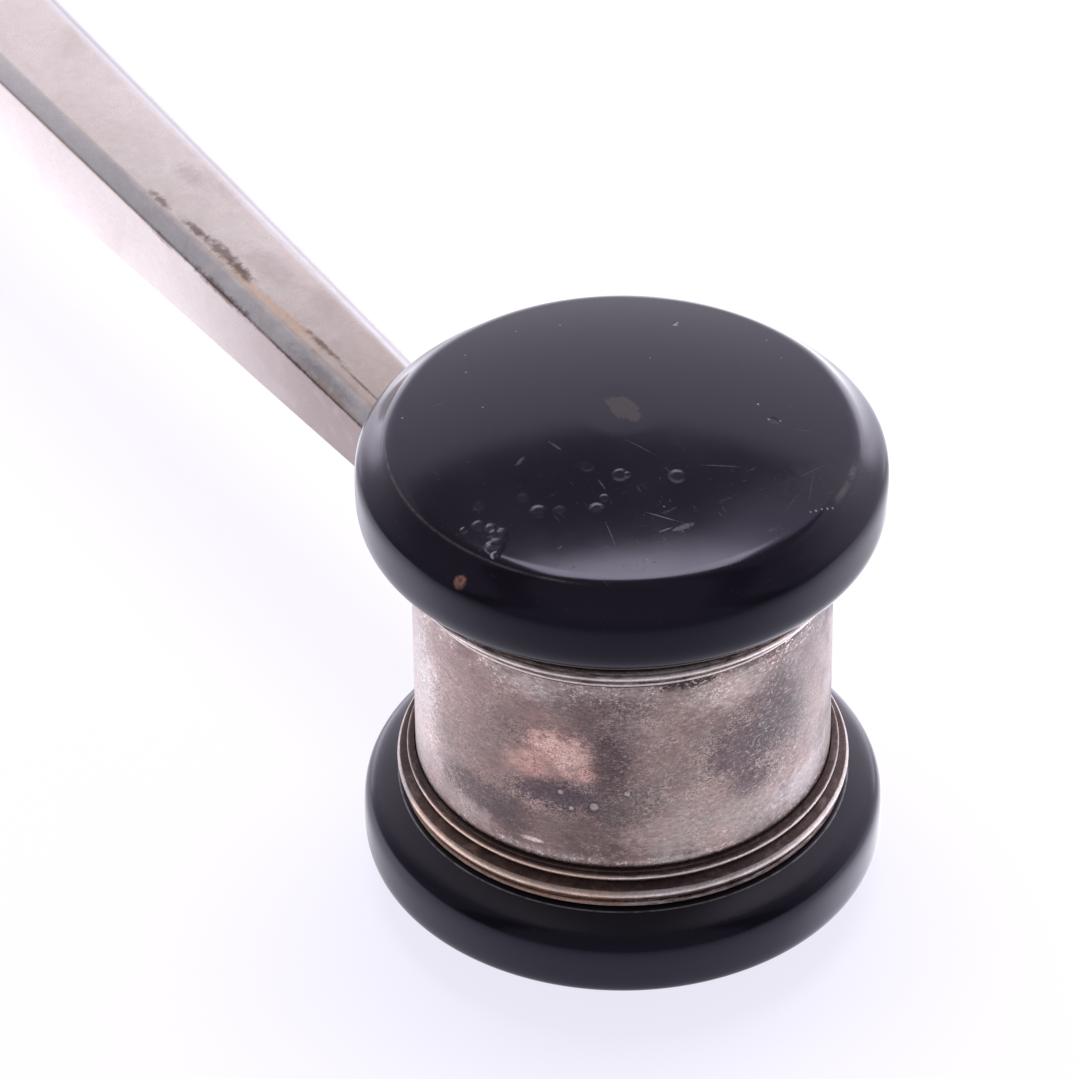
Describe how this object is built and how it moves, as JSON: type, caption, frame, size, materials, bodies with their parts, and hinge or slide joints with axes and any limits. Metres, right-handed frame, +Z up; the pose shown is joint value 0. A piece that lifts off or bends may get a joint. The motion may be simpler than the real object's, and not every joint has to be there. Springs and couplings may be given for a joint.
{
  "type": "auction gavel",
  "caption": "Hand gavel: black turned striking caps with domed faces on a silver-plated barrel with reeded collars, and a tapered octagonal silver handle.",
  "frame": {"origin": "centre of the flat land on the lower striking face", "axes": "+Z up along the axis of the head, towards the upper striking face; +X along the handle, towards its free end"},
  "size_m": [0.1949, 0.06, 0.0668],
  "materials": {
    "ebonised_wood": "black polish over turned hardwood, worn and nicked",
    "silver_plate": "silver plate over copper, tarnished and rubbed",
    "hardwood": "plain turned hardwood, unfinished",
    "steel": "turned steel"
  },
  "bodies": {
    "root": {"lower_striking_cap": "ebonised_wood", "upper_striking_cap": "ebonised_wood", "lower_collar": "silver_plate", "upper_collar": "silver_plate", "barrel_sleeve": "silver_plate", "head_core": "hardwood", "tang_anchor": "steel", "handle_ferrule": "silver_plate", "handle_shaft": "silver_plate", "handle_core": "hardwood", "handle_tang": "steel", "tang_washer": "steel", "tang_nut": "steel", "handle_end_cap": "silver_plate"}
  },
  "joints": []
}
